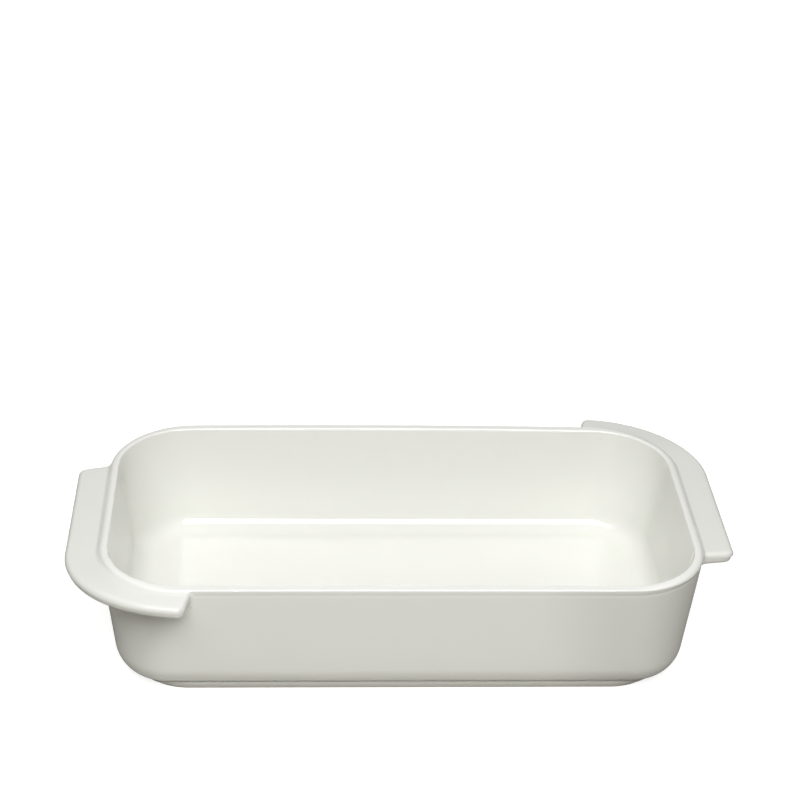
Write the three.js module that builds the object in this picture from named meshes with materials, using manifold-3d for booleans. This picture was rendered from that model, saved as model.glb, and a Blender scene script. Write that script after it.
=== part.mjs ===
// Oblong glazed stoneware baking dish with two flange handles.
// Each handle covers one end of the tub and wraps round one corner on to a long wall.
// The second handle is the first one turned half a turn, so the dish looks the same from both ends.
// Millimetres, +Z up. The origin is the middle of the foot's underside, X runs along the dish.

import * as THREE from 'three';
import { toCreasedNormals } from 'three/addons/utils/BufferGeometryUtils.js';
import Module from 'manifold-3d';

const wasm = await Module();
wasm.setup();

// Tub, measured over the rim.
const rimLength = 320;
const rimWidth = 167;
const dishHeight = 75;
const rimCornerRadius = 43;

// The corners tighten on the way down to the heel.
const lowerCornerRadius = 28.5;
const wallThickness = 4.8;
const wallDraftDegrees = 8;
const heelRadius = 19.5;
const floorThickness = 6.5;

// Inside, the corners tighten less and the wall meets the floor in a smaller curve.
const innerCornerRadius = 31;
const innerFilletRadius = 12;

// Drying and firing leave the long walls a little full and the rim a little crowned at mid-span.
const wallBow = 1;
const rimCrown = 1;

// Foot ring, the only part of the dish that touches the table.
const footInset = 17;
const footWidth = 6;
const footCornerRadius = 30;
const footEdgeRadius = 0.8;
const baseClearance = 2.5;

// Inside the foot ring the base is hollowed, which keeps the floor about as thick as the walls.
const baseRecess = 5.8;
const recessStep = 0.6;
const recessSlope = 2.5;

// Handles: reach is measured outward from the rim, drop downward from it. Both change from the end wall
// to the tip on the long wall, where the handle's top comes up almost to the rim.
const handleEndReach = 18.4;
const handleTipReach = 14.9;
const handleEndDrop = 3.2;
const handleTipDrop = 0.9;
const handleThickness = 6.5;
const handleEdgeRadius = 2.6;
const handleCornerRadius = 4.2;

// The lip's corner curve starts its turn this much further along than the tub's own corner.
const handleSweep = 6.3;

// Lengths of handle past the corner curve, at the end wall and at the long wall.
const handleEndRun = 5;
const handleTipRun = 7;

// How far each cut end leans back from the rim to the lip.
const handleEndLean = 3;
const handleTipLean = 3.3;

// The top falls towards the lip and the underside thickens towards the wall.
const handleTopFall = 1.1;
const handleRootThickening = 0.8;

// Slip joint between the tub and whatever is luted to it.
const jointGap = 0.3;
const handleBite = 4;

// Facet counts.
const cornerSteps = 12;
const longWallSteps = 8;
const endWallSteps = 2;
const arcSteps = 8;
const handleSteps = 48;
const edgeSteps = 4;

const draft = THREE.MathUtils.degToRad(wallDraftDegrees);
const rimRadius = wallThickness / 2;
const recessInset = footInset + footWidth + recessStep;
const recessTop = baseClearance + baseRecess;
const floorTop = recessTop + floorThickness;

// Points of a rounded rectangle, anticlockwise, always the same count for any size.
function plan(halfLength, halfWidth, radius) {
  const points = [];
  const longRun = halfLength - radius;
  const endRun = halfWidth - radius;
  const corners = [
    [longRun, endRun, 0],
    [-longRun, endRun, 1],
    [-longRun, -endRun, 2],
    [longRun, -endRun, 3],
  ];
  corners.forEach(([centreX, centreY, quarter], index) => {
    for (let step = 0; step <= cornerSteps; step += 1) {
      const angle = (quarter + step / cornerSteps) * Math.PI / 2;
      const x = centreX + radius * Math.cos(angle);
      const y = centreY + radius * Math.sin(angle);
      points.push(new THREE.Vector2(x, y));
    }
    const [nextX, nextY, nextQuarter] = corners[(index + 1) % corners.length];
    const nextStart = nextQuarter * Math.PI / 2;
    const from = points[points.length - 1];
    const to = new THREE.Vector2(nextX + radius * Math.cos(nextStart), nextY + radius * Math.sin(nextStart));
    const steps = index % 2 === 0 ? longWallSteps : endWallSteps;
    for (let step = 1; step < steps; step += 1) {
      points.push(from.clone().lerp(to, step / steps));
    }
  });
  return points;
}

// Share of the bow and the crown at a height: none up to the heel, all of it at the rim.
function fullness(z) {
  const heelTop = baseClearance + heelRadius;
  return THREE.MathUtils.clamp((z - heelTop) / (dishHeight - heelTop), 0, 1);
}

// One level of the dish, from its inset inside the rim outline, its height and its corner radius.
function level({ inset, z, radius }) {
  const halfLength = rimLength / 2 - inset;
  const halfWidth = rimWidth / 2 - inset;
  const share = fullness(z);
  return plan(halfLength, halfWidth, radius).map((point) => {
    const along = 1 - (point.x / halfLength) ** 2;
    const across = THREE.MathUtils.clamp(point.y / halfWidth, -1, 1);
    const y = point.y + wallBow * share * along * across;
    return new THREE.Vector3(point.x, y, z + rimCrown * share * along);
  });
}

// Outside of the tub from the edge of its hollow base to the top of the rim, grown outward by a clearance.
function outsideLevels(grow) {
  const wallTop = {
    inset: rimRadius * (1 - Math.cos(draft)),
    z: dishHeight - rimRadius * (1 + Math.sin(draft)),
  };
  const heelTopZ = baseClearance + heelRadius * (1 - Math.sin(draft));
  const heelTopInset = wallTop.inset + (wallTop.z - heelTopZ) * Math.tan(draft);
  const heelCentre = { inset: heelTopInset + heelRadius * Math.cos(draft), z: baseClearance + heelRadius };
  const heelStart = Math.acos(THREE.MathUtils.clamp((heelCentre.inset - recessInset) / heelRadius, 0, 1));
  const levels = [];
  for (let step = 0; step <= arcSteps; step += 1) {
    const angle = THREE.MathUtils.lerp(heelStart, draft, step / arcSteps);
    const reach = heelRadius + grow;
    const inset = heelCentre.inset - reach * Math.cos(angle);
    const z = heelCentre.z - reach * Math.sin(angle);
    levels.push({ inset, z, radius: lowerCornerRadius - (inset - heelTopInset) });
  }
  for (let step = 0; step <= arcSteps; step += 1) {
    const angle = THREE.MathUtils.lerp(-draft, Math.PI / 2, step / arcSteps);
    const reach = rimRadius + grow;
    const inset = rimRadius - reach * Math.cos(angle);
    const z = dishHeight - rimRadius + reach * Math.sin(angle);
    levels.push({ inset, z, radius: rimCornerRadius - inset });
  }
  return levels;
}

// Inside of the tub from the top of the rim down to the edge of its flat floor.
function insideLevels() {
  const wallTop = {
    inset: rimRadius * (1 + Math.cos(draft)),
    z: dishHeight - rimRadius * (1 - Math.sin(draft)),
  };
  const filletTopZ = floorTop + innerFilletRadius * (1 - Math.sin(draft));
  const filletTopInset = wallTop.inset + (wallTop.z - filletTopZ) * Math.tan(draft);
  const filletCentre = filletTopInset + innerFilletRadius * Math.cos(draft);
  const levels = [];
  for (let step = 1; step <= arcSteps; step += 1) {
    const angle = THREE.MathUtils.lerp(Math.PI / 2, Math.PI - draft, step / arcSteps);
    const inset = rimRadius - rimRadius * Math.cos(angle);
    const z = dishHeight - rimRadius + rimRadius * Math.sin(angle);
    levels.push({ inset, z, radius: rimCornerRadius - inset });
  }
  for (let step = 0; step <= arcSteps; step += 1) {
    const angle = THREE.MathUtils.lerp(draft, Math.PI / 2, step / arcSteps);
    const inset = filletCentre - innerFilletRadius * Math.cos(angle);
    const z = floorTop + innerFilletRadius * (1 - Math.sin(angle));
    levels.push({ inset, z, radius: innerCornerRadius - (inset - filletTopInset) });
  }
  return levels;
}

// Skin over a run of rings. The two ends are closed by a fan for a round ring or by a strip for a long
// one that doubles back on itself, or the last ring is joined to the first.
function loft(rings, ends) {
  const count = rings[0].length;
  const points = rings.flat();
  const index = [];
  const rows = ends === 'joined' ? rings.length : rings.length - 1;
  for (let row = 0; row < rows; row += 1) {
    const low = row * count;
    const high = ((row + 1) % rings.length) * count;
    for (let step = 0; step < count; step += 1) {
      const next = (step + 1) % count;
      index.push(low + step, low + next, high + next);
      index.push(low + step, high + next, high + step);
    }
  }
  const close = (row, flip) => {
    const start = row * count;
    const face = (a, b, c) => index.push(...(flip ? [c, b, a] : [a, b, c]));
    if (ends === 'fan') {
      const middle = new THREE.Box3().setFromPoints(rings[row]).getCenter(new THREE.Vector3());
      const hub = points.push(middle) - 1;
      for (let step = 0; step < count; step += 1) {
        face(hub, start + step, start + (step + 1) % count);
      }
    } else {
      for (let step = 0; step < count / 2 - 1; step += 1) {
        const across = start + count - 1 - step;
        face(start + step, start + step + 1, across);
        face(start + step + 1, across - 1, across);
      }
    }
  };
  if (ends !== 'joined') {
    close(0, true);
    close(rings.length - 1, false);
  }
  const geometry = new THREE.BufferGeometry().setFromPoints(points);
  geometry.setIndex(index);
  return geometry;
}

// A closed solid from a geometry, with points at the same place made one.
function toSolid(geometry) {
  const position = geometry.getAttribute('position');
  const index = geometry.getIndex();
  const corners = index ? index.count : position.count;
  const seen = new Map();
  const coordinates = [];
  const triangles = [];
  for (let corner = 0; corner < corners; corner += 3) {
    const face = [0, 1, 2].map((offset) => {
      const source = index ? index.getX(corner + offset) : corner + offset;
      const place = [position.getX(source), position.getY(source), position.getZ(source)];
      const key = place.map((value) => Math.round(value * 2000)).join(' ');
      if (!seen.has(key)) {
        seen.set(key, coordinates.length / 3);
        coordinates.push(...place);
      }
      return seen.get(key);
    });
    if (new Set(face).size === 3) {
      triangles.push(...face);
    }
  }
  return new wasm.Manifold(new wasm.Mesh({
    numProp: 3,
    vertProperties: new Float32Array(coordinates),
    triVerts: new Uint32Array(triangles),
  }));
}

function toGeometry(solid) {
  const mesh = solid.getMesh();
  const geometry = new THREE.BufferGeometry();
  geometry.setAttribute('position', new THREE.BufferAttribute(new Float32Array(mesh.vertProperties), 3));
  geometry.setIndex(new THREE.BufferAttribute(new Uint32Array(mesh.triVerts), 1));
  return geometry;
}

function makeTub() {
  const outside = outsideLevels(0);
  const recess = {
    inset: outside[0].inset + recessSlope,
    z: recessTop,
    radius: outside[0].radius - recessSlope,
  };
  return loft([recess, ...outside, ...insideLevels()].map(level), 'fan');
}

// Everything that the tub fills, with the slip joint round it, cut from whatever is luted on.
const tubWithJoint = toSolid(loft(outsideLevels(jointGap).map(level), 'fan'));

// The foot is a band under the heel, trimmed to fit the curve above it.
function makeFootRing() {
  const top = baseClearance + heelRadius / 2;
  const outer = footInset;
  const inner = footInset + footWidth;
  const profile = [];
  const bend = (centre, startAngle) => {
    for (let step = 0; step <= edgeSteps; step += 1) {
      const angle = startAngle + step / edgeSteps * Math.PI / 2;
      profile.push({
        inset: centre + footEdgeRadius * Math.cos(angle),
        z: footEdgeRadius * (1 + Math.sin(angle)),
      });
    }
  };
  profile.push({ inset: inner, z: top });
  profile.push({ inset: outer, z: top });
  bend(outer + footEdgeRadius, Math.PI);
  bend(inner - footEdgeRadius, Math.PI * 1.5);
  const rings = profile.reverse().map(({ inset, z }) => {
    const radius = footCornerRadius - (inset - footInset);
    const outline = plan(rimLength / 2 - inset, rimWidth / 2 - inset, radius);
    return outline.map((point) => new THREE.Vector3(point.x, point.y, z));
  });
  return toGeometry(toSolid(loft(rings, 'joined')).subtract(tubWithJoint));
}

// Plan of the handle on the +X end: its lip runs from the cut near the front, along the end wall,
// round the back corner and on to the tip on the long wall. Its root runs inside the tub wall.
// Drawing it smaller by an inset all round gives the levels of its rounded edge.
function handlePlan(inset) {
  const halfLength = rimLength / 2;
  const halfWidth = rimWidth / 2;
  const centreX = halfLength - rimCornerRadius;
  const centreY = halfWidth - rimCornerRadius;
  const lipX = halfLength + handleEndReach - inset;
  const lipY = halfWidth + handleTipReach - inset;
  const turn = handleCornerRadius - inset;
  const endRoot = new THREE.Vector2(halfLength - handleBite, -centreY - handleEndRun + inset);
  const endLip = new THREE.Vector2(lipX, endRoot.y + handleEndLean);
  const tipRoot = new THREE.Vector2(centreX - handleTipRun + inset, halfWidth - handleBite);
  const tipLip = new THREE.Vector2(tipRoot.x + handleTipLean, lipY);
  const towards = (from, to) => from.clone().add(to.clone().sub(from).setLength(turn));
  const endTurn = towards(endLip, endRoot);
  const tipTurn = towards(tipLip, tipRoot);
  const lip = new THREE.Path();
  lip.moveTo(endTurn.x, endTurn.y);
  lip.quadraticCurveTo(endLip.x, endLip.y, lipX, endLip.y + turn);
  lip.lineTo(lipX, centreY);
  const sweepX = centreX - handleSweep;
  const pastSweep = tipLip.x + turn - sweepX;
  const cornerEnd = Math.acos(THREE.MathUtils.clamp(pastSweep / (lipX - sweepX), 0, 1));
  lip.absellipse(sweepX, centreY, lipX - sweepX, lipY - centreY, 0, cornerEnd, false);
  if (pastSweep < 0) {
    lip.lineTo(tipLip.x + turn, lipY);
  }
  lip.quadraticCurveTo(tipLip.x, tipLip.y, tipTurn.x, tipTurn.y);
  const root = new THREE.Path();
  root.moveTo(endRoot.x, endRoot.y);
  root.lineTo(endRoot.x, centreY);
  root.absarc(centreX, centreY, rimCornerRadius - handleBite, 0, Math.PI / 2, false);
  root.lineTo(tipRoot.x, tipRoot.y);
  return [...lip.getSpacedPoints(handleSteps), ...root.getSpacedPoints(handleSteps).reverse()];
}

// Where a point of the handle lies: how far round from the end wall (0) to the long wall (1), and how far
// out from the rim (0) to the lip (1).
function shares(x, y) {
  const alongX = Math.max(x - (rimLength / 2 - rimCornerRadius), 0);
  const alongY = Math.max(y - (rimWidth / 2 - rimCornerRadius), 0);
  const past = Math.hypot(alongX, alongY) - rimCornerRadius;
  const round = Math.atan2(alongY, alongX) / (Math.PI / 2);
  const reach = THREE.MathUtils.lerp(handleEndReach, handleTipReach, round);
  return { round, out: THREE.MathUtils.clamp(past / reach, -handleBite / reach, 1) };
}

function makeHandle() {
  const levels = [];
  [1, -1].forEach((side) => {
    for (let step = 0; step <= edgeSteps; step += 1) {
      const angle = (side > 0 ? edgeSteps - step : step) / edgeSteps * Math.PI / 2;
      const inset = handleEdgeRadius * (1 - Math.cos(angle));
      const depth = handleEdgeRadius * (1 - Math.sin(angle));
      levels.push({ inset, depth: side > 0 ? handleThickness - depth : depth });
    }
  });
  const rings = levels.map(({ inset, depth }) => handlePlan(inset).map((point) => {
    const { round, out } = shares(point.x, point.y);
    const drop = THREE.MathUtils.lerp(handleEndDrop, handleTipDrop, THREE.MathUtils.smoothstep(round, 0, 1));
    const fall = handleTopFall * out;
    const thickening = handleRootThickening * (1 - out) * depth / handleThickness;
    return new THREE.Vector3(point.x, point.y, dishHeight - drop - depth - fall - thickening);
  }));
  return toGeometry(toSolid(loft(rings, 'strip')).subtract(tubWithJoint));
}

const glaze = { color: 0xe9e8e1, roughness: 0.12, metalness: 0 };
const bareClay = { color: 0xd9d3c6, roughness: 0.75, metalness: 0 };

function mesh(name, geometry, look) {
  const made = new THREE.Mesh(toCreasedNormals(geometry, Math.PI / 5), new THREE.MeshStandardMaterial(look));
  made.name = name;
  return made;
}

const handleGeometry = makeHandle();
const rightHandle = mesh('right_handle', handleGeometry, glaze);
const leftHandle = mesh('left_handle', handleGeometry, glaze);
leftHandle.rotation.z = Math.PI;

const dish = new THREE.Group();
dish.name = 'baking_dish';
dish.add(mesh('tub', makeTub(), glaze));
dish.add(mesh('foot_ring', makeFootRing(), bareClay));
dish.add(rightHandle, leftHandle);

export default dish;
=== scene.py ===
# Looks of an oblong glazed baking dish: an open tub, a bare foot ring and two flange handles.
# Metres, +Z up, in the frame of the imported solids.
import math

import bmesh
import bpy
from bpy.props import FloatProperty, FloatVectorProperty, PointerProperty
from mathutils import Matrix, Vector


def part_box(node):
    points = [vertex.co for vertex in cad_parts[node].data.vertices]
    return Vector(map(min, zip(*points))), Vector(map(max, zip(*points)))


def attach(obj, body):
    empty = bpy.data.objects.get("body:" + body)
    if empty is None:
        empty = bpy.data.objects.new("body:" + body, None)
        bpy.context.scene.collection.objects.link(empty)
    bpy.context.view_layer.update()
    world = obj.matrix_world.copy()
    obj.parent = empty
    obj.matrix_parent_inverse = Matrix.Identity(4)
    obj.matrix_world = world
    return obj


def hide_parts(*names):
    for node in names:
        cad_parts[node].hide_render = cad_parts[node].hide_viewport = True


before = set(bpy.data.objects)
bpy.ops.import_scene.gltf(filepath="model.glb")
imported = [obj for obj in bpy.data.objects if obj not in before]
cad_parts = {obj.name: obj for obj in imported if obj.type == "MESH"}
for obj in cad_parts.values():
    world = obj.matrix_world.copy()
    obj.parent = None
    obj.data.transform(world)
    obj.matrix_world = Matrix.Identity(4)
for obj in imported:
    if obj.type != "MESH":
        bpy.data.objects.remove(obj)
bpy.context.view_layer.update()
TUB_LOW, TUB_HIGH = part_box("tub")
FOOT_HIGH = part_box("foot_ring")[1]
HANDLE_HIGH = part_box("right_handle")[1]
MM = 0.001
# Where the rim has passed from its soft form at the ends to its crisp form on the long sides.
END_BLEND = 0.45

bl_info = {
    "name": "Baking dish",
    "version": (1, 0, 0),
    "blender": (4, 5, 0),
    "location": "View3D > Sidebar > Baking dish",
    "description": "Builds the glazed surfaces of an oblong baking dish over its packed solids",
    "category": "Object",
}


def length(name, description, default):
    """A size in metres that shows in the panel in the scene's own units."""
    return FloatProperty(
        name=name, description=description, default=default, subtype="DISTANCE", unit="LENGTH", precision=5
    )


def slant(name, description, degrees):
    """An angle, written in degrees and kept in radians."""
    return FloatProperty(
        name=name, description=description, default=math.radians(degrees), subtype="ANGLE", unit="ROTATION"
    )


def brightness(name, description, default):
    """A strength at which 1 is as bright as white paper."""
    return FloatProperty(name=name, description=description, default=default, min=0)


def colour(name, description, default):
    """A surface colour, scene linear."""
    return FloatVectorProperty(
        name=name, description=description, default=default, size=3, min=0, max=1, subtype="COLOR"
    )


class TubShape(bpy.types.PropertyGroup):
    """Sizes of the tub, measured over the rim"""

    bow: length("Bow", "How far each long wall stands out at mid-span", 1 * MM)
    crown: length("Crown", "How far the rim rises at mid-span", 1 * MM)
    rim_length: length("Rim length", "Length over the rim", TUB_HIGH.x - TUB_LOW.x)
    rim_width: length("Rim width", "Width over the rim at the corners", TUB_HIGH.y - TUB_LOW.y - 2 * MM)
    height: length("Height", "Height of the rim at the corners", TUB_HIGH.z - 1 * MM)
    rim_corner: length("Rim corner", "Corner radius at the rim", 43 * MM)
    heel_corner: length("Heel corner", "Corner radius at the heel", 28.5 * MM)
    wall: length("Wall", "Wall thickness", 4.8 * MM)
    draft: slant("Draft", "Lean of the walls from the vertical", 8)
    heel: length("Heel", "Radius between the outside of the wall and the base", 19.5 * MM)
    base: length("Base", "Height of the heel's lowest line above the table", 2.5 * MM)
    recess: length("Recess", "Depth of the hollow in the base, inside the foot ring", 5.8 * MM)
    recess_inset: length("Recess inset", "Distance of the hollow inside the rim", 23.6 * MM)
    rim_outside: length("Rim outside", "Radius of the rim's outer edge", 0.65 * MM)
    rim_inside: length("Rim inside", "Radius of the rim's inner edge", 1 * MM)
    rim_tilt: slant("Rim tilt", "Fall of the rim's top to the outside", 3)
    end_rounding: length("End rounding", "Height of the softer rounding of the rim at the ends", 2.2 * MM)
    under_rim: length("Under rim", "Depth of the shallow hollow just under the rim", 0.13 * MM)
    floor: length("Floor", "Height of the floor's top above the table", 14.8 * MM)
    fillet: length("Fillet", "Radius between the inside of the wall and the floor", 12 * MM)
    floor_corner: length("Floor corner", "Corner radius inside, where the walls meet the floor", 35 * MM)


class HandleShape(bpy.types.PropertyGroup):
    """Sizes of the two flange handles"""

    end_reach: length(
        "End reach", "Reach past the rim at the end wall", HANDLE_HIGH.x - TUB_HIGH.x - 0.6 * MM
    )
    tip_reach: length("Tip reach", "Reach past the rim at the long wall", 14.9 * MM)
    end_drop: length("End drop", "Depth of the top below the rim at the end wall", 3.2 * MM)
    root_drop: length("Root drop", "Depth of the top below the rim on the corner, beside the rim", 0.45 * MM)
    tip_drop: length("Tip drop", "Depth of the top below the rim at the tip", 0.9 * MM)
    thickness: length("Thickness", "Thickness at the lip", 6.5 * MM)
    edge: length("Edge", "Radius of the rounded edges", 2.6 * MM)
    corner: length("Corner", "Radius of the two corners of the lip", 4.2 * MM)
    sweep: length("Sweep", "How much further along than the tub's corner the lip turns", 6.3 * MM)
    end_run: length("End run", "Straight length before the corner, on the end wall", 5 * MM)
    tip_run: length("Tip run", "Straight length past the corner, on the long wall", 7 * MM)
    end_lean: length("End lean", "How far the cut at the end wall leans", 3 * MM)
    tip_lean: length("Tip lean", "How far the cut at the long wall leans", 3.3 * MM)
    top_fall: length("Top fall", "Fall of the top from the wall to the lip", 1.1 * MM)
    thickening: length("Thickening", "Extra thickness at the wall", 0.8 * MM)
    groove: length("Groove", "Radius of the groove between the rim and the top", 2.8 * MM)
    under_fillet: length("Under fillet", "Radius between the underside and the wall", 3.5 * MM)
    end_fillet: length("End fillet", "Radius between the cut ends and the wall", 1.6 * MM)


class FootShape(bpy.types.PropertyGroup):
    """Sizes of the foot ring"""

    inset: length("Inset", "Distance of the foot inside the rim", TUB_HIGH.x - FOOT_HIGH.x)
    width: length("Width", "Width of the band that touches the table", 6 * MM)
    corner: length("Corner", "Corner radius of the foot", 30 * MM)
    edge: length("Edge", "Radius of the worn lower edges", 0.5 * MM)
    bead: length("Bead", "Radius of the rounded line under the heel", 1.8 * MM)
    taper: length("Taper", "How far the foot narrows towards the table", 0.4 * MM)
    sunk: length("Sunk", "How far the top lies inside the heel", 0.4 * MM)
    wiped: length("Wiped", "Height up to which the glaze is wiped off", 1.2 * MM)


class DishFinish(bpy.types.PropertyGroup):
    """Colours of the glaze and of the bare clay"""

    glaze: colour("Glaze", "Colour of the glaze on a flat wall", (0.81, 0.812, 0.765))
    pooled: colour("Pooled glaze", "Colour where the glaze lies thicker", (0.775, 0.782, 0.72))
    # Painted sheen: a paler colour on the rim's top that stands in for the bright room mirrored there.
    rim_sheen: colour("Thin glaze", "Colour where the glaze runs thin on the rim", (0.885, 0.885, 0.845))
    clay: colour("Bare clay", "Colour of the fired clay on the foot", (0.69, 0.65, 0.57))
    speck: colour("Speck", "Colour of an iron speck in the glaze", (0.2, 0.16, 0.11))


class DishStudio(bpy.types.PropertyGroup):
    """Light and floor round the dish"""

    front: brightness("Front light", "Brightness of the front softbox", 11.2)
    overhead: brightness("Overhead light", "Brightness of the overhead cloth", 0.48)
    side: brightness("Side light", "Brightness of the left softbox", 3)
    rear: brightness("Rear light", "Brightness of the rear cloth", 0.5)
    back: brightness("Back light", "Brightness of the low cloth behind the dish", 2.4)
    backdrop: brightness("Backdrop", "Brightness of the room in mirrored light", 0.42)
    # Painted reflection: the table before the dish glows at this strength in mirrored light only, lighting
    # nothing.
    card_glow: brightness("Card", "Mirrored brightness of the table before the dish", 1.2)
    white: brightness("White", "Brightness added to the table in view", 0.86)
    paper: colour("Paper", "Colour of the table close to the foot, at the front", (0.63, 0.615, 0.55))
    table: colour("Table", "Colour of the table", (0.42, 0.41, 0.38))


class DishSettings(bpy.types.PropertyGroup):
    """Everything that can be changed on the dish"""

    tub: PointerProperty(type=TubShape)
    handle: PointerProperty(type=HandleShape)
    foot: PointerProperty(type=FootShape)
    finish: PointerProperty(type=DishFinish)
    studio: PointerProperty(type=DishStudio)


def arc(start, end, steps):
    """Angles from start to end, both included."""
    return [start + (end - start) * step / steps for step in range(steps + 1)]


def quarter_round(radius, steps):
    """Steps in from an edge and down from a face, over a quarter round between them."""
    turns = arc(0, math.pi / 2, steps)
    return [(radius * (1 - math.cos(turn)), radius * (1 - math.sin(turn))) for turn in turns]


def wall_levels(tub):
    """Insets and heights where the straight outside of the wall begins and ends."""
    rim = tub.wall / 2
    top = (rim * (1 - math.cos(tub.draft)), tub.height - rim * (1 + math.sin(tub.draft)))
    foot_height = tub.base + tub.heel * (1 - math.sin(tub.draft))
    foot = (top[0] + (top[1] - foot_height) * math.tan(tub.draft), foot_height)
    return foot, top


def rim_edges(tub):
    """Insets and heights of the middles of the rim's two rounded edges."""
    _, (rim_inset, wall_top) = wall_levels(tub)
    lean, across = math.tan(tub.draft), math.cos(tub.draft)
    outside, inside = tub.rim_outside, tub.rim_inside
    inner_level = tub.height - inside
    inner_centre = rim_inset + (tub.wall - inside) / across - (inner_level - wall_top) * lean
    level = tub.height - outside
    for _ in range(4):
        outer_centre = rim_inset + outside / across - (level - wall_top) * lean
        fall = (inner_centre - outer_centre) * math.tan(tub.rim_tilt)
        level = inner_level + (inside - outside) / math.cos(tub.rim_tilt) - fall
    return (outer_centre, level), (inner_centre, inner_level)


def softness(tub, inset):
    """How far the rim's rounding at the ends lies below the crisper rim of the long sides."""
    crest, run = 0.72 * tub.wall, 0.76 * tub.wall
    out = min(max((crest - inset) / run, 0), 0.96)
    return tub.end_rounding * (1 - math.sqrt(1 - out * out))


def hollow_share(share):
    """Depth of the shallow hollow under the rim, from 0 to 1, at a share of the wall's height."""
    start, into, out_of = 0.945, 0.04, 0.015
    level = min(max(min((share - start) / into, (1 - share) / out_of), 0), 1)
    return level * level * (3 - 2 * level)


def tub_profile(tub):
    """Rows from the middle of the base, up the outside, over the rim and down to the middle of the floor.

    A row is its inset inside the rim outline, its corner radius, its height, how far it is gathered towards
    the middle of the dish and, on the rim, how far it is lowered at the ends.
    """
    (heel_inset, heel_top), (rim_inset, wall_top) = wall_levels(tub)
    heel_centre = heel_inset + tub.heel * math.cos(tub.draft)
    heel_start = math.acos((heel_centre - tub.recess_inset) / tub.heel)
    rows = []

    def row(inset, corner, z, gather=0, lowered=0):
        rows.append((inset, corner, z, gather, lowered))

    gathers = (1, 0.9, 0.72, 0.5, 0.28, 0.12, 0.04)
    hollow = tub.base + tub.recess
    slope, bend = 2.5 * MM, 1.5 * MM
    hollow_corner = tub.heel_corner - (tub.recess_inset - heel_inset)
    for gather in gathers:
        row(tub.recess_inset + slope + bend, hollow_corner - slope - bend, hollow, gather)
    for angle in arc(math.pi / 2, math.radians(25), 6):
        inset = tub.recess_inset + slope + bend * (1 - math.cos(angle))
        z = hollow - bend * (1 - math.sin(angle))
        row(inset, hollow_corner - (inset - tub.recess_inset), z)
    for angle in arc(heel_start, tub.draft, 18):
        inset = heel_centre - tub.heel * math.cos(angle)
        row(inset, tub.heel_corner - (inset - heel_inset), tub.base + tub.heel * (1 - math.sin(angle)))
    for share in (*(step / 12 for step in range(1, 12)), *(0.93 + step / 200 for step in range(15))):
        inset = heel_inset + (rim_inset - heel_inset) * share + tub.under_rim * hollow_share(share)
        corner = tub.heel_corner + (tub.rim_corner - rim_inset - tub.heel_corner) * share
        row(inset, corner, heel_top + (wall_top - heel_top) * share)
    (outer_centre, level), (inner_centre, inner_level) = rim_edges(tub)
    outside, inside = tub.rim_outside, tub.rim_inside
    top = math.pi / 2 - tub.rim_tilt
    edge = [(outer_centre - outside * math.cos(angle), level + outside * math.sin(angle))
            for angle in arc(-tub.draft, top, 12)]
    far = [(inner_centre - inside * math.cos(angle), inner_level + inside * math.sin(angle))
           for angle in arc(top, math.pi - tub.draft, 12)]
    crown = [tuple(Vector(edge[-1]).lerp(Vector(far[0]), step / 9)) for step in range(1, 9)]
    for inset, z in edge + crown + far:
        row(inset, tub.rim_corner - inset, z, lowered=softness(tub, inset))
    inner_top_inset, inner_top = rows[-1][0], rows[-1][2]
    fillet_top = tub.floor + tub.fillet * (1 - math.sin(tub.draft))
    fillet_inset = inner_top_inset + (inner_top - fillet_top) * math.tan(tub.draft)
    fillet_corner = tub.floor_corner
    top_corner = tub.rim_corner - inner_top_inset
    for step in range(1, 12):
        share = step / 12
        inset = inner_top_inset + (fillet_inset - inner_top_inset) * share
        corner = top_corner + (fillet_corner - top_corner) * share
        row(inset, corner, inner_top + (fillet_top - inner_top) * share)
    fillet_centre = fillet_inset + tub.fillet * math.cos(tub.draft)
    for angle in arc(tub.draft, math.pi / 2, 24):
        inset = fillet_centre - tub.fillet * math.cos(angle)
        row(inset, fillet_corner - (inset - fillet_inset), tub.floor + tub.fillet * (1 - math.sin(angle)))
    for gather in reversed(gathers):
        row(fillet_centre, fillet_corner - (fillet_centre - fillet_inset), tub.floor, gather)
    return rows


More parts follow.
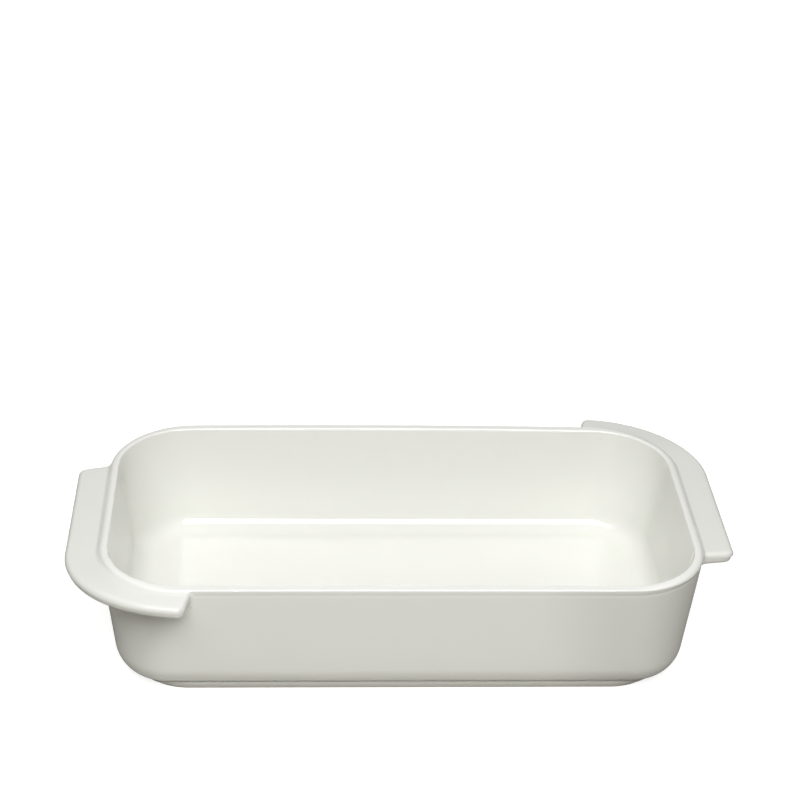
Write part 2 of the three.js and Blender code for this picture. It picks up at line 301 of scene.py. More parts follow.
class FootSection:
    """Section of the foot ring at any place along its outline, with a rounded bead under the heel."""

    def __init__(self, tub, foot):
        self.tub, self.foot = tub, foot
        (self.heel_inset, _), _ = wall_levels(tub)

    def outline(self):
        """Places and outward directions round the outside of the foot."""
        foot, tub = self.foot, self.tub
        run_x = tub.rim_length / 2 - foot.inset - foot.corner
        run_y = tub.rim_width / 2 - foot.inset - foot.corner
        spots = []
        corners = ((run_x, run_y), (-run_x, run_y), (-run_x, -run_y), (run_x, -run_y))
        for quarter, (x, y) in enumerate(corners):
            for angle in arc(quarter * math.pi / 2, (quarter + 1) * math.pi / 2, 24):
                out = Vector((math.cos(angle), math.sin(angle), 0))
                spots.append((Vector((x, y, 0)) + out * foot.corner, out))
        return spots

    def heel_height(self, spot):
        """Height at which the heel passes over a place."""
        tub = self.tub
        low, high = tub.draft, math.pi / 2
        for _ in range(30):
            angle = (low + high) / 2
            rise = tub.heel * (math.cos(tub.draft) - math.cos(angle))
            inset, corner = self.heel_inset + rise, tub.heel_corner - rise
            over_x = abs(spot.x) - (tub.rim_length / 2 - inset - corner)
            over_y = abs(spot.y) - (tub.rim_width / 2 - inset - corner)
            gap = math.hypot(max(over_x, 0), max(over_y, 0)) + min(max(over_x, over_y), 0) - corner
            low, high = (angle, high) if gap < 0 else (low, angle)
        return tub.base + tub.heel * (1 - math.sin(low))

    def loop(self, spot, out):
        """Points once round the section, from the inside of the ring."""
        foot = self.foot
        up = Vector((0, 0, 1))
        inner = spot - out * foot.width
        seam = spot + up * self.heel_height(spot)
        points = [inner + up * (self.tub.base + foot.sunk), seam + up * foot.sunk]
        # The bead's middle lies inside the foot's face, under the seam, so only a low curve stands out.
        middle = seam - out * foot.bead * 0.35 - up * foot.bead * 0.6
        brow = spot + out * foot.bead * 0.58
        points.append(brow + up * (self.heel_height(brow) + foot.sunk * 0.5))
        for angle in arc(math.radians(22), math.radians(-30), 8):
            points.append(middle + (out * math.cos(angle) + up * math.sin(angle)) * foot.bead)
        low = spot - out * foot.taper
        points.append(low.lerp(points[-1], 0.5) + up * foot.edge * 0.5)
        worn = quarter_round(foot.edge, 8)
        points += [low - out * back + up * rise for back, rise in worn]
        points += [inner + out * back + up * rise for back, rise in reversed(worn)]
        return points


def ring_mesh(name, loops):
    """Skins loops that follow each other all the way round."""
    count = len(loops[0])
    faces = []
    for row in range(len(loops)):
        low, high = row * count, (row + 1) % len(loops) * count
        for step in range(count):
            after = (step + 1) % count
            faces.append((low + step, low + after, high + after, high + step))
    mesh = bpy.data.meshes.new(name)
    mesh.from_pydata([point for loop in loops for point in loop], [], faces)
    mesh.shade_smooth()
    return mesh


class Formula:
    """Writes sums as math nodes of one tree."""

    def __init__(self, tree):
        self.tree = tree

    def node(self, kind, **settings):
        made = self.tree.nodes.new(kind)
        for name, value in settings.items():
            setattr(made, name, value)
        return made

    def put(self, socket, value):
        if isinstance(value, bpy.types.NodeSocket):
            self.tree.links.new(value, socket)
        else:
            socket.default_value = value

    def math(self, operation, *values, clamp=False):
        made = self.node("ShaderNodeMath", operation=operation, use_clamp=clamp)
        for socket, value in zip(made.inputs, values):
            self.put(socket, value)
        return made.outputs[0]

    def add(self, first, *rest):
        for value in rest:
            first = self.math("ADD", first, value)
        return first

    def minus(self, first, second):
        return self.math("SUBTRACT", first, second)

    def times(self, first, *rest):
        for value in rest:
            first = self.math("MULTIPLY", first, value)
        return first

    def over(self, first, second, clamp=False):
        return self.math("DIVIDE", first, second, clamp=clamp)


def socket_of(tree, name, kind, default=None):
    """A named input of a node tree."""
    made = tree.interface.new_socket(name, in_out="INPUT", socket_type=kind)
    if default is not None:
        made.default_value = default
    return made


def round_the_dish_tree():
    """Carries a profile round a rounded rectangle whose corner radius may change from row to row."""
    tree = bpy.data.node_groups.new("Profile round the dish", "GeometryNodeTree")
    socket_of(tree, "Profile", "NodeSocketGeometry")
    for name in ("Half Length", "Half Width", "Bow", "Crown", "Heel Height", "Rim Height"):
        socket_of(tree, name, "NodeSocketFloat")
    socket_of(tree, "Corner Steps", "NodeSocketInt", 24)
    socket_of(tree, "Side Steps", "NodeSocketInt", 20)
    socket_of(tree, "Finish", "NodeSocketMaterial")
    tree.interface.new_socket("Piece", in_out="OUTPUT", socket_type="NodeSocketGeometry")
    f = Formula(tree)
    given = f.node("NodeGroupInput").outputs
    size = f.node("GeometryNodeAttributeDomainSize")
    f.put(size.inputs["Geometry"], given["Profile"])
    rows = size.outputs["Point Count"]
    quarter = f.add(given["Corner Steps"], given["Side Steps"])
    columns = f.times(quarter, 4)

    sheet = f.node("GeometryNodeMeshGrid")
    f.put(sheet.inputs["Vertices X"], f.add(columns, 1))
    f.put(sheet.inputs["Vertices Y"], rows)

    index = f.node("GeometryNodeInputIndex").outputs[0]
    column = f.math("FLOOR", f.over(f.add(index, 0.5), rows))
    row = f.minus(index, f.times(column, rows))
    turn = f.math("FLOOR", f.over(f.add(column, 0.5), quarter))
    step = f.minus(column, f.times(turn, quarter))
    on_corner = f.over(step, given["Corner Steps"], clamp=True)
    on_side = f.over(f.minus(step, given["Corner Steps"]), given["Side Steps"], clamp=True)

    position = f.node("GeometryNodeInputPosition").outputs[0]
    place = f.node("GeometryNodeSampleIndex", data_type="FLOAT_VECTOR", domain="POINT")
    f.put(place.inputs["Geometry"], given["Profile"])
    f.put(place.inputs["Value"], position)
    f.put(place.inputs["Index"], row)
    split = f.node("ShaderNodeSeparateXYZ")
    f.put(split.inputs[0], place.outputs[0])
    inset, corner, height = split.outputs

    def of_row(label):
        named = f.node("GeometryNodeInputNamedAttribute", data_type="FLOAT")
        named.inputs["Name"].default_value = label
        found = f.node("GeometryNodeSampleIndex", data_type="FLOAT", domain="POINT")
        f.put(found.inputs["Geometry"], given["Profile"])
        f.put(found.inputs["Value"], named.outputs[0])
        f.put(found.inputs["Index"], row)
        return found.outputs[0]

    keep = f.minus(1, of_row("gather"))

    half_length = f.minus(given["Half Length"], inset)
    half_width = f.minus(given["Half Width"], inset)
    angle = f.times(f.add(turn, on_corner), math.pi / 2)

    def corner_sign(operation):
        here = f.math(operation, f.times(f.add(turn, 0.5), math.pi / 2))
        there = f.math(operation, f.times(f.add(turn, 1.5), math.pi / 2))
        return f.times(f.add(here, f.times(f.minus(there, here), on_side)), math.sqrt(2))

    def out_from_middle(operation, half):
        straight = f.times(corner_sign(operation), f.minus(half, corner))
        return f.add(straight, f.times(f.math(operation, angle), corner))

    x = out_from_middle("COSINE", half_length)
    y = out_from_middle("SINE", half_width)
    rise = f.over(
        f.minus(height, given["Heel Height"]), f.minus(given["Rim Height"], given["Heel Height"]), clamp=True
    )
    along = f.minus(1, f.math("POWER", f.math("ABSOLUTE", f.over(x, half_length)), 2))
    share = f.times(rise, along)
    across = f.math("MAXIMUM", f.math("MINIMUM", f.over(y, half_width), 1), -1)
    y = f.add(y, f.times(given["Bow"], share, across))
    at_ends = f.minus(1, f.over(along, END_BLEND, clamp=True))
    z = f.minus(f.add(height, f.times(given["Crown"], share)), f.times(of_row("lowered"), at_ends))
    join = f.node("ShaderNodeCombineXYZ")
    f.put(join.inputs[0], f.times(x, keep))
    f.put(join.inputs[1], f.times(y, keep))
    f.put(join.inputs[2], z)

    shaped = f.node("GeometryNodeSetPosition")
    f.put(shaped.inputs["Geometry"], sheet.outputs["Mesh"])
    f.put(shaped.inputs["Position"], join.outputs[0])
    closed = f.node("GeometryNodeMergeByDistance")
    f.put(closed.inputs["Geometry"], shaped.outputs[0])
    closed.inputs["Distance"].default_value = 0.01 * MM
    smooth = f.node("GeometryNodeSetShadeSmooth")
    f.put(smooth.inputs["Geometry"], closed.outputs[0])
    whole = f.node("GeometryNodeRealizeInstances")
    f.put(whole.inputs[0], smooth.outputs[0])
    finished = f.node("GeometryNodeSetMaterial")
    f.put(finished.inputs["Geometry"], whole.outputs[0])
    f.put(finished.inputs["Material"], given["Finish"])
    f.put(f.node("NodeGroupOutput").inputs[0], finished.outputs[0])
    return tree


def round_the_dish(name, rows, tub, finish):
    """Makes a piece by carrying rows round the dish."""
    chain = bpy.data.meshes.new(name + "_profile")
    edges = [(step, step + 1) for step in range(len(rows) - 1)]
    chain.from_pydata([row[:3] for row in rows], edges, [])
    for place, label in ((3, "gather"), (4, "lowered")):
        values = chain.attributes.new(label, "FLOAT", "POINT")
        values.data.foreach_set("value", [row[place] for row in rows])
    piece = bpy.data.objects.new(name, chain)
    bpy.context.scene.collection.objects.link(piece)
    tree = bpy.data.node_groups.get("Profile round the dish") or round_the_dish_tree()
    modifier = piece.modifiers.new("Round the dish", "NODES")
    modifier.node_group = tree
    inputs = {
        "Half Length": tub.rim_length / 2,
        "Half Width": tub.rim_width / 2,
        "Bow": tub.bow,
        "Crown": tub.crown,
        "Heel Height": tub.base + tub.heel,
        "Rim Height": tub.height,
        "Finish": finish,
    }
    for item in tree.interface.items_tree:
        if item.in_out == "INPUT" and item.name in inputs:
            modifier[item.identifier] = inputs[item.name]
    bpy.context.view_layer.update()
    ready = piece.evaluated_get(bpy.context.evaluated_depsgraph_get())
    made = bpy.data.meshes.new_from_object(ready)
    piece.modifiers.clear()
    piece.data = made
    made.name = name
    return piece


def rounding(radius, distance):
    """Depth of a quarter round at a distance from where it begins."""
    if distance >= radius:
        return 0.0
    reach = radius - max(distance, 0)
    return radius - math.sqrt(max(radius * radius - reach * reach, 0))


class HandleLoft:
    """Loops round the handle at the +X end, from inside the tub's wall out to the lip.

    A station is a length along the rim, from 0 where the end wall turns into the corner: less than 0 on the
    end wall, more on the corner and then on the long wall. A section at a station is made of distances out
    from the wall and heights.
    """

    def __init__(self, tub, handle):
        self.tub, self.handle = tub, handle
        self.half_length, self.half_width = tub.rim_length / 2, tub.rim_width / 2
        self.centre_x = self.half_length - tub.rim_corner
        self.centre_y = self.half_width - tub.rim_corner
        self.sweep_x = self.centre_x - handle.sweep
        self.lip_x = self.half_length + handle.end_reach
        self.lip_y = self.half_width + handle.tip_reach
        self.corner_run = tub.rim_corner * math.pi / 2
        self.rim = tub.wall / 2
        self.heel, self.top = wall_levels(tub)
        self.rim_edge, _ = rim_edges(tub)

    def wall_at(self, z):
        """Inset and corner radius of the tub's outside at a height."""
        tub, rim = self.tub, self.rim
        if z > self.top[1]:
            up = min(z - (tub.height - rim), rim * 0.999)
            inset = rim - math.sqrt(max(rim * rim - up * up, 0))
            return inset, tub.rim_corner - inset
        share = (z - self.heel[1]) / (self.top[1] - self.heel[1])
        inset = self.heel[0] + (self.top[0] - self.heel[0]) * share
        return inset, tub.heel_corner + (tub.rim_corner - self.top[0] - tub.heel_corner) * share

    def ends_at(self, station, z):
        """Places in plan of a station on the wall, at a height, and on the lip."""
        inset, corner = self.wall_at(z)
        wall_x, wall_y = self.half_length - inset, self.half_width - inset
        if station <= 0:
            y = self.centre_y + station
            return Vector((wall_x, y)), Vector((self.lip_x, y))
        angle = min(station / self.tub.rim_corner, math.pi / 2)
        cos, sin = math.cos(angle), math.sin(angle)
        past = Vector((max(station - self.corner_run, 0), 0))
        wall = Vector((wall_x - corner + corner * cos, wall_y - corner + corner * sin)) - past
        lip_width, lip_depth = self.lip_x - self.sweep_x, self.lip_y - self.centre_y
        lip = Vector((self.sweep_x + lip_width * cos, self.centre_y + lip_depth * sin)) - past
        wall.y += self.tub.bow * self.fullness(z) * self.along(wall.x) * min(wall.y / self.half_width, 1)
        return wall, lip

    def fullness(self, z):
        heel_top = self.tub.base + self.tub.heel
        return min(max((z - heel_top) / (self.tub.height - heel_top), 0), 1)

    def along(self, x):
        return 1 - (x / self.half_length) ** 2

    def reach(self, station):
        wall, lip = self.ends_at(station, self.tub.height - self.rim)
        return (lip - wall).length

    def drop(self, station, last, turned):
        """Depth below the rim: even on the end wall, easing to the last depth over a share of the corner."""
        turn = min(max(station / (self.corner_run * turned), 0), 1)
        return self.handle.end_drop + (last - self.handle.end_drop) * turn * turn * (3 - 2 * turn)

    def lowered(self, station):
        """How far the rim's outer edge lies lower here than on the long sides."""
        wall, _ = self.ends_at(station, self.tub.height - self.rim)
        return softness(self.tub, self.rim_edge[0] * 0.4) * (1 - min(self.along(wall.x) / END_BLEND, 1))

    def face(self, station, distance):
        """Height of the handle's top before its edges are rounded."""
        handle = self.handle
        half_corner = 0.5
        turn = min(max(station / (self.corner_run * half_corner), 0), 1)
        root = self.drop(station, handle.root_drop, half_corner) + self.lowered(station) * turn
        lip = self.drop(station, handle.tip_drop, 1) + handle.top_fall
        return self.tub.height - root - (lip - root) * max(distance / self.reach(station), 0)

    def upper(self, station, part, value):
        """Distance and height of a point of the top: in the wall, the groove, the flat or the lip."""
        handle, tub, rim, reach = self.handle, self.tub, self.rim, self.reach(station)
        if part == "lip":
            distance = reach - value
            return distance, self.face(station, distance) - rounding(handle.edge, value)
        wall, _ = self.ends_at(station, tub.height - rim)
        crown = tub.crown * self.along(wall.x) * self.fullness(tub.height - rim)
        edge = tub.rim_outside
        rim_centre = Vector((-self.rim_edge[0], self.rim_edge[1] + crown - self.lowered(station)))
        groove = handle.groove
        rise = self.face(station, 0) + groove - rim_centre.y
        hollow = Vector((math.sqrt((edge + groove) ** 2 - rise * rise), rise)) + rim_centre
        if part == "flat":
            distance = hollow.x + (reach - handle.edge - hollow.x) * value
            return distance, self.face(station, distance)
        if part == "wall":
            point = rim_centre.lerp(hollow, value * edge / (edge + groove))
            return point.x, point.y
        start = math.atan2(rim_centre.y - hollow.y, rim_centre.x - hollow.x) % (2 * math.pi)
        angle = start + (math.pi * 1.5 - start) * value
        return hollow.x + groove * math.cos(angle), hollow.y + groove * math.sin(angle)

    def lower(self, station, part, value):
        """Distance and height of a point of the underside."""
        handle, reach = self.handle, self.reach(station)
        off = 0
        if part == "lip":
            distance = reach - value
            off = rounding(handle.edge, value)
        elif part == "flat":
            distance = handle.under_fillet + (reach - handle.edge - handle.under_fillet) * value
        elif part == "wall":
            distance = -self.rim / 2
        else:
            distance = handle.under_fillet * (1 - math.cos(value * math.pi / 2))
        share = max(distance / reach, 0)
        low = self.tub.height - self.drop(station, handle.tip_drop, 1) - handle.top_fall * share
        low -= handle.thickness + handle.thickening * (1 - share)
        return distance, low + off - rounding(handle.under_fillet, distance)

    def half_loop(self, section, side, part, value):
        """Points of one loop along the top or the underside, with the edges of both cut ends rounded."""
        handle = self.handle

        def spot(station, off):
            distance, z = section(station, part, value)
            plan_z = self.tub.height - self.rim if side > 0 else z
            wall, lip = self.ends_at(station, plan_z)
            point = wall.lerp(lip, distance / (lip - wall).length)
            return point.x, point.y, z - side * off

        def cut(station, lean):
            """How far the cut end stands in from the root, at the loop's distance from the wall."""
            distance, _ = section(station, part, value)
            reach = self.reach(station)
            turned = rounding(handle.corner, reach - distance) - rounding(handle.end_fillet, distance)
            return lean * distance / reach + turned

        def reaching(x):
            """Station at which the loop comes round to an x."""
            low, high = 0.0, self.corner_run * 1.5
            for _ in range(40):
                middle = (low + high) / 2
                low, high = (middle, high) if spot(middle, 0)[0] > x else (low, middle)
            return low

        edge = handle.edge
        to_lip = edge - value if part == "lip" else 0
        depth = math.sqrt(max(edge * edge - to_lip * to_lip, 0))
        start = -2 * self.centre_y - handle.end_run + cut(-self.centre_y, handle.end_lean)
        stop = self.centre_x - handle.tip_run + cut(self.corner_run, handle.tip_lean)
        bends = quarter_round(depth, 8)[:-1]
        points = [spot(start + along, down) for along, down in bends]
        begin = start + depth
        points += [spot(begin * (1 - step / 15), 0) for step in range(15)]
        finish = reaching(stop + depth)
        points += [spot(finish * step / 52, 0) for step in range(53)]
        for along, down in reversed(bends):
            points.append(spot(reaching(stop + along), down))
        return points

    def loops(self):
        parts = [("wall", 0.5)]
        parts += [("groove", step / 9) for step in range(10)]
        parts += [("flat", step / 7) for step in range(1, 7)]
        parts += [("lip", self.handle.edge * (1 - math.sin(angle))) for angle in arc(0, math.pi / 2, 9)]
        made = []
        for part, value in parts:
            top = self.half_loop(self.upper, 1, part, value)
            made.append(top + self.half_loop(self.lower, -1, part, value)[::-1])
        return made


def handle_mesh(name, loops, turned):
    """Skins the loops and closes both ends with strips. The left handle is the right one, turned round."""
    count = len(loops[0])
    sign = -1 if turned else 1
    points = [(x * sign, y * sign, z) for loop in loops for x, y, z in loop]
    faces = []
    for row in range(len(loops) - 1):
        low, high = row * count, (row + 1) * count
        for step in range(count):
            after = (step + 1) % count
            faces.append((low + step, low + after, high + after, high + step))
    last = (len(loops) - 1) * count
    for step in range(count // 2 - 1):
        across = count - 1 - step
        faces.append((step, across, across - 1, step + 1))
        faces.append((last + step, last + step + 1, last + across - 1, last + across))
    mesh = bpy.data.meshes.new(name)
    mesh.from_pydata(points, [], faces)
    shell = bmesh.new()
    shell.from_mesh(mesh)
    bmesh.ops.remove_doubles(shell, verts=shell.verts, dist=2e-6)
    bmesh.ops.recalc_face_normals(shell, faces=shell.faces)
    shell.to_mesh(mesh)
    shell.free()
    mesh.validate()
    mesh.shade_smooth()
    return mesh


def finish_material(name):
    """A new material with an empty tree, its shader and a writer of sums."""
    material = bpy.data.materials.new(name)
    material.use_nodes = True
    material.node_tree.nodes.clear()
    f = Formula(material.node_tree)
    shader = f.node("ShaderNodeBsdfPrincipled")
    output = f.node("ShaderNodeOutputMaterial")
    f.put(output.inputs["Surface"], shader.outputs[0])
    return material, shader, f


def speckle_group():
    """Sparse round specks: a mask of the specks and a softer one of the dimple round each."""
    group = bpy.data.node_groups.get("Specks")
    if group:
        return group
    group = bpy.data.node_groups.new("Specks", "ShaderNodeTree")
    socket_of(group, "Place", "NodeSocketVector")
    socket_of(group, "Spacing", "NodeSocketFloat", 0.02)
    socket_of(group, "Share", "NodeSocketFloat", 0.1)
    socket_of(group, "Size", "NodeSocketFloat", 0.05)
    for name in ("Mask", "Dimple"):
        group.interface.new_socket(name, in_out="OUTPUT", socket_type="NodeSocketFloat")
    f = Formula(group)
    given = f.node("NodeGroupInput").outputs
    cells = f.node("ShaderNodeTexVoronoi", feature="F1")
    f.put(cells.inputs["Vector"], given["Place"])
    f.put(cells.inputs["Scale"], f.over(1, given["Spacing"]))
    split = f.node("ShaderNodeSeparateColor")
    f.put(split.inputs[0], cells.outputs["Color"])
    chosen = f.math("LESS_THAN", split.outputs[0], given["Share"])
    size = f.times(given["Size"], f.add(f.times(split.outputs[1], 0.8), 0.4))
    gone = f.over(cells.outputs["Distance"], size)
    mask = f.times(f.minus(1, f.math("SMOOTH_MIN", gone, 1, 0.1)), chosen)
    outputs = f.node("NodeGroupOutput").inputs
    f.put(outputs["Mask"], f.math("MULTIPLY", mask, 2, clamp=True))
    wide = f.math("SUBTRACT", 1, f.over(cells.outputs["Distance"], f.times(size, 2.5)), clamp=True)
    f.put(outputs["Dimple"], f.times(wide, chosen))
    return group


def noise(f, place, scale, detail, roughness=0.5):
    made = f.node("ShaderNodeTexNoise", noise_dimensions="3D")
    f.put(made.inputs["Vector"], place)
    made.inputs["Scale"].default_value = scale
    made.inputs["Detail"].default_value = detail
    made.inputs["Roughness"].default_value = roughness
    return made.outputs[0]


def mixed(f, share, first, second):
    made = f.node("ShaderNodeMix", data_type="RGBA")
    colours = [socket for socket in made.inputs if socket.type == "RGBA"]
    f.put(made.inputs[0], share)
    for socket, value in zip(colours, (first, second)):
        f.put(socket, value if isinstance(value, bpy.types.NodeSocket) else (*value, 1))
    return [socket for socket in made.outputs if socket.type == "RGBA"][0]


def glaze_material(finish, tub):
    """Thick white glaze: glossy, faintly uneven, with a painted sheen that makes the rim's top paler, and
    with pinholes and iron specks.
    """
    found = bpy.data.materials.get("white_glaze")
    if found:
        return found
    material, shader, f = finish_material("white_glaze")
    place = f.node("ShaderNodeTexCoord").outputs["Object"]
    split = f.node("ShaderNodeSeparateXYZ")
    f.put(split.inputs[0], place)
    cloud = noise(f, place, 22, 3)
    low = f.math("SUBTRACT", 1, f.over(split.outputs[2], 0.03), clamp=True)
    pooled = f.math("ADD", f.times(low, 0.35), f.times(f.minus(cloud, 0.5), 0.5), clamp=True)
    base = mixed(f, pooled, finish.glaze, finish.pooled)
    # Painted sheen: the top of the rim takes a paler colour in place of the room mirrored in it.
    rim_sheen = f.over(f.minus(split.outputs[2], tub.height - 0.9 * MM), 0.7 * MM, clamp=True)
    base = mixed(f, rim_sheen, base, finish.rim_sheen)
    specks = f.node("ShaderNodeGroup")
    specks.node_tree = speckle_group()
    f.put(specks.inputs["Place"], place)
    specks.inputs["Spacing"].default_value = 0.021
    specks.inputs["Share"].default_value = 0.1
    specks.inputs["Size"].default_value = 0.03
    base = mixed(f, f.times(specks.outputs["Mask"], 0.8), base, finish.speck)
    f.put(shader.inputs["Base Color"], base)
    dull = f.add(0.03, f.times(noise(f, place, 60, 2), 0.03))
    f.put(shader.inputs["Roughness"], f.add(dull, f.times(specks.outputs["Dimple"], 0.2)))
    shader.inputs["IOR"].default_value = 1.62
    peel = f.times(f.minus(noise(f, place, 150, 1), 0.5), 0.012 * MM)
    wave = f.times(f.minus(noise(f, place, 28, 1), 0.5), 0.1 * MM)
    pits = f.times(specks.outputs["Dimple"], -0.05 * MM)
    bump = f.node("ShaderNodeBump")
    bump.inputs["Strength"].default_value = 1
    bump.inputs["Distance"].default_value = 1
    f.put(bump.inputs["Height"], f.add(peel, wave, pits))
    f.put(shader.inputs["Normal"], bump.outputs[0])
    return material


def foot_material(finish, foot):
    """Glaze that stops short of the table, where it is wiped off and shows the fired clay."""
    found = bpy.data.materials.get("wiped_foot")
    if found:
        return found
    material, shader, f = finish_material("wiped_foot")
    place = f.node("ShaderNodeTexCoord").outputs["Object"]
    split = f.node("ShaderNodeSeparateXYZ")
    f.put(split.inputs[0], place)
    grain = noise(f, place, 1800, 4, 0.65)
    stain = noise(f, place, 45, 3)
    line = f.add(foot.wiped, f.times(f.minus(stain, 0.5), 0.6 * MM))
    glazed = f.math("ADD", f.over(f.minus(split.outputs[2], line), 0.3 * MM), 0.5, clamp=True)
    dark = tuple(value * 0.82 for value in finish.clay)
    clay = mixed(f, f.math("MULTIPLY", f.add(grain, stain), 0.5, clamp=True), finish.clay, dark)
    f.put(shader.inputs["Base Color"], mixed(f, glazed, clay, finish.glaze))
    f.put(shader.inputs["Roughness"], f.minus(0.75, f.times(glazed, 0.67)))
    shader.inputs["IOR"].default_value = 1.52
    bump = f.node("ShaderNodeBump")
    bump.inputs["Strength"].default_value = 1
    bump.inputs["Distance"].default_value = 1
    f.put(bump.inputs["Height"], f.times(grain, f.minus(1, glazed), 0.08 * MM))
    f.put(shader.inputs["Normal"], bump.outputs[0])
    return material


def place_piece(piece, node):
    """Hands a finished piece to the frame in place of its solid."""
    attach(piece, "root")
    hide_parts(node)


class DISH_OT_tub(bpy.types.Operator):
    """Build the glazed tub: base, heel, walls, rim and floor in one skin"""

    bl_idname = "dish.build_tub"
    bl_label = "Build the tub"

    def execute(self, context):
        settings = context.scene.baking_dish
        glaze = glaze_material(settings.finish, settings.tub)
        piece = round_the_dish("glazed_tub", tub_profile(settings.tub), settings.tub, glaze)
        place_piece(piece, "tub")
        return {"FINISHED"}


class DISH_OT_handles(bpy.types.Operator):
    """Build the two flange handles, each blended into the tub's wall"""

    bl_idname = "dish.build_handles"
    bl_label = "Build the handles"

    def execute(self, context):
        settings = context.scene.baking_dish
        loops = HandleLoft(settings.tub, settings.handle).loops()
        for side, turned in (("right", False), ("left", True)):
            mesh = handle_mesh("glazed_%s_handle" % side, loops, turned)
            mesh.materials.append(glaze_material(settings.finish, settings.tub))
            piece = bpy.data.objects.new(mesh.name, mesh)
            context.scene.collection.objects.link(piece)
            place_piece(piece, "%s_handle" % side)
        return {"FINISHED"}


class DISH_OT_foot(bpy.types.Operator):
    """Build the bare foot ring under the heel"""

    bl_idname = "dish.build_foot"
    bl_label = "Build the foot ring"

    def execute(self, context):
        settings = context.scene.baking_dish
        section = FootSection(settings.tub, settings.foot)
        mesh = ring_mesh("foot_ring_wiped", [section.loop(spot, out) for spot, out in section.outline()])
        mesh.materials.append(foot_material(settings.finish, settings.foot))
        piece = bpy.data.objects.new(mesh.name, mesh)
        context.scene.collection.objects.link(piece)
        place_piece(piece, "foot_ring")
        return {"FINISHED"}


def soft_light(name, place, target, width, depth, strength):
    """A rectangle of even brightness that faces a target."""
    lamp = bpy.data.lights.new(name, "AREA")
    lamp.shape = "RECTANGLE"
    lamp.size, lamp.size_y = width, depth
    lamp.energy = strength * math.pi * width * depth
    holder = bpy.data.objects.new(name, lamp)
    facing = (Vector(place) - Vector(target)).to_track_quat("Z", "Y")
    holder.matrix_world = Matrix.Translation(place) @ facing.to_matrix().to_4x4()
    bpy.context.scene.collection.objects.link(holder)
    return holder


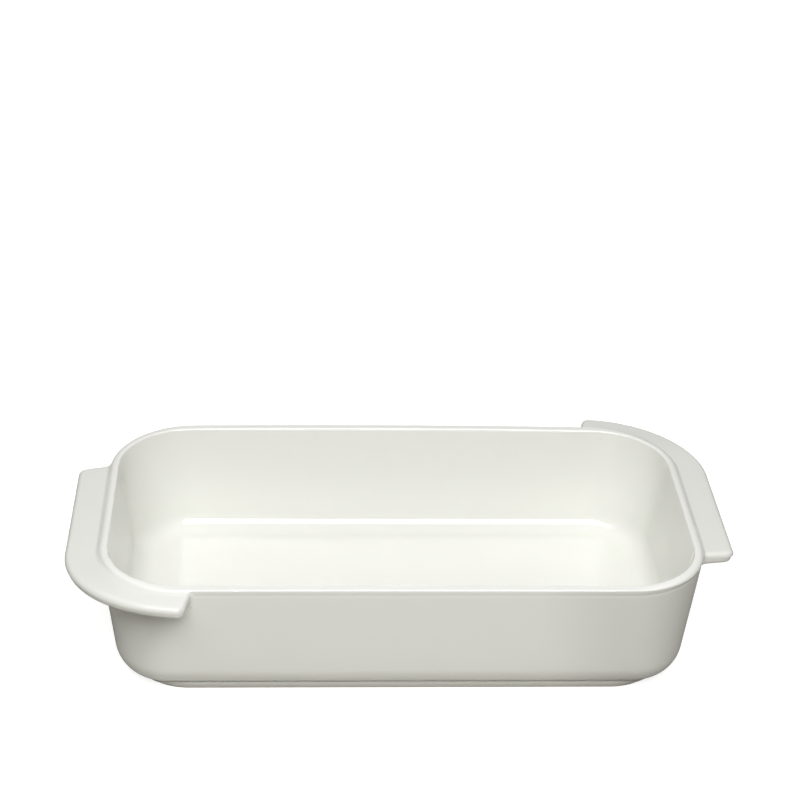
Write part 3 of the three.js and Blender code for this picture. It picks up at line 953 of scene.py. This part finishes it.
class DISH_OT_stage(bpy.types.Operator):
    """Set the table, the light and the camera"""

    bl_idname = "dish.build_stage"
    bl_label = "Set the stage"

    def execute(self, context):
        scene = context.scene
        studio = scene.baking_dish.studio
        scene.view_settings.view_transform = "Standard"
        self.table(scene, studio)
        self.room(scene, studio)
        soft_light("front_softbox", (-0.01, -0.85, 1.06), (0, 0.06, 0.03), 0.72, 0.56, studio.front)
        soft_light("left_softbox", (-0.55, -0.6, 1.25), (0, 0.06, 0.03), 0.5, 0.5, studio.side)
        soft_light("overhead_cloth", (0, 0, 1.6), (0, 0, 0), 2.4, 2.4, studio.overhead)
        soft_light("rear_cloth", (0, 0.75, 1.3), (0, 0, 0.04), 1.4, 0.7, studio.rear)
        low = soft_light("low_back_cloth", (0, 1.3, 0.22), (0, 0, 0.22), 2.2, 0.44, studio.back)
        low.visible_camera = False
        low.visible_glossy = False
        self.camera(scene)
        return {"FINISHED"}

    def table(self, scene, studio):
        mesh = bpy.data.meshes.new("table")
        mesh.from_pydata([(-4, -4, 0), (4, -4, 0), (4, 4, 0), (-4, 4, 0)], [], [(0, 1, 2, 3)])
        table = bpy.data.objects.new("table", mesh)
        material, shader, f = finish_material("table_paper")
        shader.inputs["Roughness"].default_value = 0.9
        shader.inputs["Specular IOR Level"].default_value = 0
        shader.inputs["Emission Color"].default_value = (1, 1, 1, 1)
        split = f.node("ShaderNodeSeparateXYZ")
        f.put(split.inputs[0], f.node("ShaderNodeTexCoord").outputs["Object"])
        # The patch before the front wall fades in from under the heel and glows in mirrored light only, a
        # painted reflection in the glaze; the paper lies close to the foot.
        card_middle, card_half, card_fade = -0.02, 0.1, 0.04
        card_start, start_fade = -0.057, 0.048
        paper_end, paper_fade = -0.105, 0.02
        off = f.math("ABSOLUTE", f.minus(split.outputs[0], card_middle))
        beside = f.math("SUBTRACT", 1, f.over(f.minus(off, card_half), card_fade), clamp=True)
        before = f.over(f.minus(card_start, split.outputs[1]), start_fade, clamp=True)
        card_glow = f.times(beside, before)
        close = f.over(f.minus(split.outputs[1], paper_end), paper_fade, clamp=True)
        f.put(shader.inputs["Base Color"], mixed(f, f.times(card_glow, close), studio.table, studio.paper))
        path = f.node("ShaderNodeLightPath").outputs
        # Painted reflection: only glossy rays see this patch glow, so the front wall's glaze mirrors a bright
        # patch that is no lamp.
        mirrored = f.times(path["Is Glossy Ray"], card_glow, studio.card_glow)
        seen = f.add(path["Is Camera Ray"], path["Is Transmission Ray"])
        f.put(shader.inputs["Emission Strength"], f.add(mirrored, f.times(seen, studio.white)))
        mesh.materials.append(material)
        scene.collection.objects.link(table)

    def room(self, scene, studio):
        world = bpy.data.worlds.new("white_room")
        world.use_nodes = True
        world.node_tree.nodes.clear()
        f = Formula(world.node_tree)
        path = f.node("ShaderNodeLightPath").outputs
        mirrored = f.times(path["Is Glossy Ray"], studio.backdrop)
        light = f.node("ShaderNodeBackground")
        light.inputs["Color"].default_value = (1, 1, 1, 1)
        seen = f.add(path["Is Camera Ray"], path["Is Transmission Ray"])
        f.put(light.inputs["Strength"], f.add(mirrored, seen))
        f.put(f.node("ShaderNodeOutputWorld").inputs["Surface"], light.outputs[0])
        scene.world = world

    def camera(self, scene):
        lens = bpy.data.cameras.new("camera")
        lens.sensor_fit = "HORIZONTAL"
        lens.sensor_width = 36
        focal_pixels, frame_pixels = 2006.7, 800
        lens.lens = focal_pixels / frame_pixels * lens.sensor_width
        lens.clip_end = 50
        camera = bpy.data.objects.new("camera", lens)
        rise, turn, roll = math.radians(29.129), math.radians(3.791), math.radians(-2.173)
        ahead = Vector((math.sin(turn) * math.cos(rise), math.cos(turn) * math.cos(rise), -math.sin(rise)))
        level = Vector((math.cos(turn), -math.sin(turn), 0))
        down = ahead.cross(level)
        right = level * math.cos(roll) + down * math.sin(roll)
        below = down * math.cos(roll) - level * math.sin(roll)
        target, distance = Vector((11.35, 199.62, 28.2)), 1294.35
        eye = (target - ahead * distance) * MM
        camera.matrix_world = Matrix((
            (right.x, -below.x, -ahead.x, eye.x),
            (right.y, -below.y, -ahead.y, eye.y),
            (right.z, -below.z, -ahead.z, eye.z),
            (0, 0, 0, 1),
        ))
        scene.collection.objects.link(camera)
        scene.camera = camera


class DISH_PT_panel(bpy.types.Panel):
    """Sizes, finishes and steps of the baking dish"""

    bl_idname = "DISH_PT_panel"
    bl_label = "Baking dish"
    bl_space_type = "VIEW_3D"
    bl_region_type = "UI"
    bl_category = "Baking dish"

    def draw(self, context):
        settings = context.scene.baking_dish
        steps = (
            (settings.tub, DISH_OT_tub),
            (settings.handle, DISH_OT_handles),
            (settings.foot, DISH_OT_foot),
            (settings.finish, None),
            (settings.studio, DISH_OT_stage),
        )
        for group, operator in steps:
            box = self.layout.box()
            for name in group.__annotations__:
                box.prop(group, name)
            if operator:
                box.operator(operator.bl_idname)


GROUPS = (TubShape, HandleShape, FootShape, DishFinish, DishStudio, DishSettings)
STEPS = (DISH_OT_tub, DISH_OT_handles, DISH_OT_foot, DISH_OT_stage)


def register():
    for group in (*GROUPS, *STEPS, DISH_PT_panel):
        bpy.utils.register_class(group)
    bpy.types.Scene.baking_dish = PointerProperty(type=DishSettings)


def unregister():
    del bpy.types.Scene.baking_dish
    for group in reversed((*GROUPS, *STEPS, DISH_PT_panel)):
        bpy.utils.unregister_class(group)


def main():
    register()
    bpy.ops.dish.build_tub()
    bpy.ops.dish.build_handles()
    bpy.ops.dish.build_foot()
    bpy.ops.dish.build_stage()


if __name__ == "__main__":
    main()
